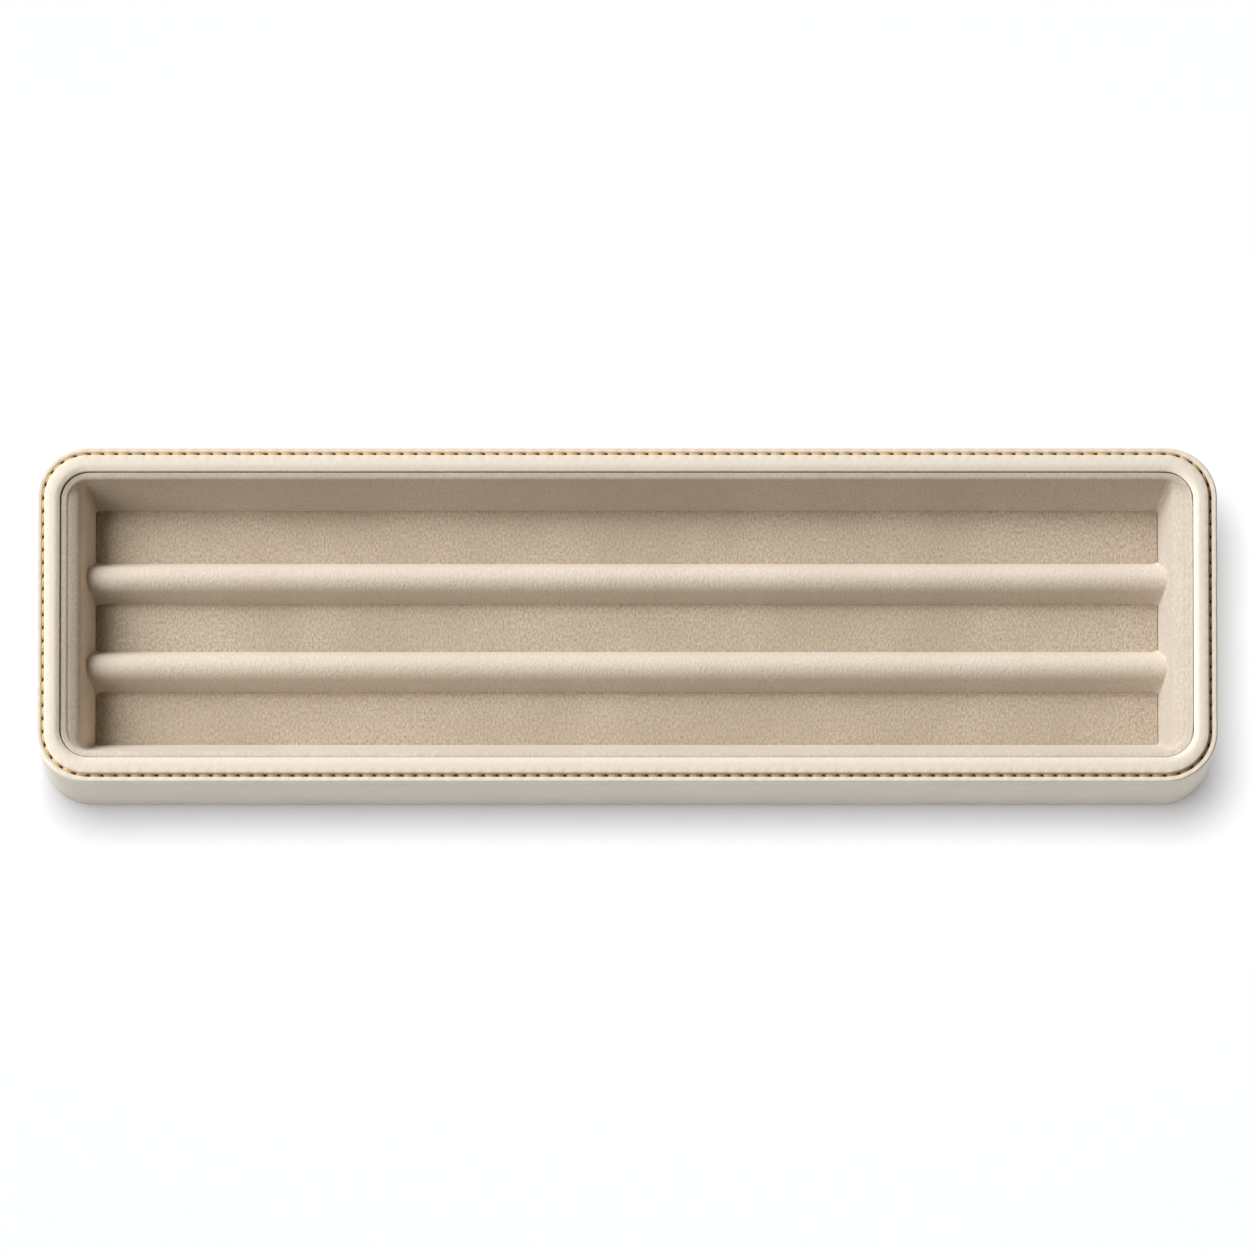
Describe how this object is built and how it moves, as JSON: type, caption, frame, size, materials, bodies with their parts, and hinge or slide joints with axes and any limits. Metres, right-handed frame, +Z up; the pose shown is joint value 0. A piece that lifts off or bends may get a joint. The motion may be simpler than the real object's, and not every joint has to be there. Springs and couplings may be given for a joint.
{
  "type": "pen tray",
  "caption": "Shallow leather-covered desk tray with a padded stitched rim, suede lining and long ridges that part it into pen channels.",
  "frame": {"origin": "on the table under the middle of the tray", "axes": "+X along the channels, front of the tray at -Y, +Z up"},
  "size_m": [0.3, 0.0888, 0.027],
  "materials": {
    "cream_leather": "smooth cream leather, fine grain, low sheen",
    "tan_thread": "twisted tan sewing thread",
    "taupe_suede": "brushed taupe microsuede, matt, short nap",
    "foam": "dense cut foam",
    "board": "fibreboard, sawn and sanded",
    "card": "grey bookbinding card",
    "underside_felt": "pressed taupe felt"
  },
  "bodies": {
    "root": {"back_rail": "board", "base_board": "board", "base_felt": "underside_felt", "base_infill_card": "card", "corner_block_back_left": "board", "corner_block_back_right": "board", "corner_block_front_left": "board", "corner_block_front_right": "board", "divider_core_back": "board", "divider_core_front": "board", "divider_suede_back": "taupe_suede", "divider_suede_front": "taupe_suede", "floor_card_back": "card", "floor_card_front": "card", "floor_card_middle": "card", "floor_foam_back": "foam", "floor_foam_front": "foam", "floor_foam_middle": "foam", "floor_suede_back": "taupe_suede", "floor_suede_front": "taupe_suede", "floor_suede_middle": "taupe_suede", "front_rail": "board", "left_rail": "board", "liner_suede_back": "taupe_suede", "liner_suede_front": "taupe_suede", "liner_suede_left": "taupe_suede", "liner_suede_right": "taupe_suede", "liner_wedge_back": "foam", "liner_wedge_front": "foam", "liner_wedge_left": "foam", "liner_wedge_right": "foam", "right_rail": "board", "rim_cover": "cream_leather", "rim_padding": "foam", "rim_stitches": "tan_thread", "side_wrap": "cream_leather"}
  },
  "joints": []
}
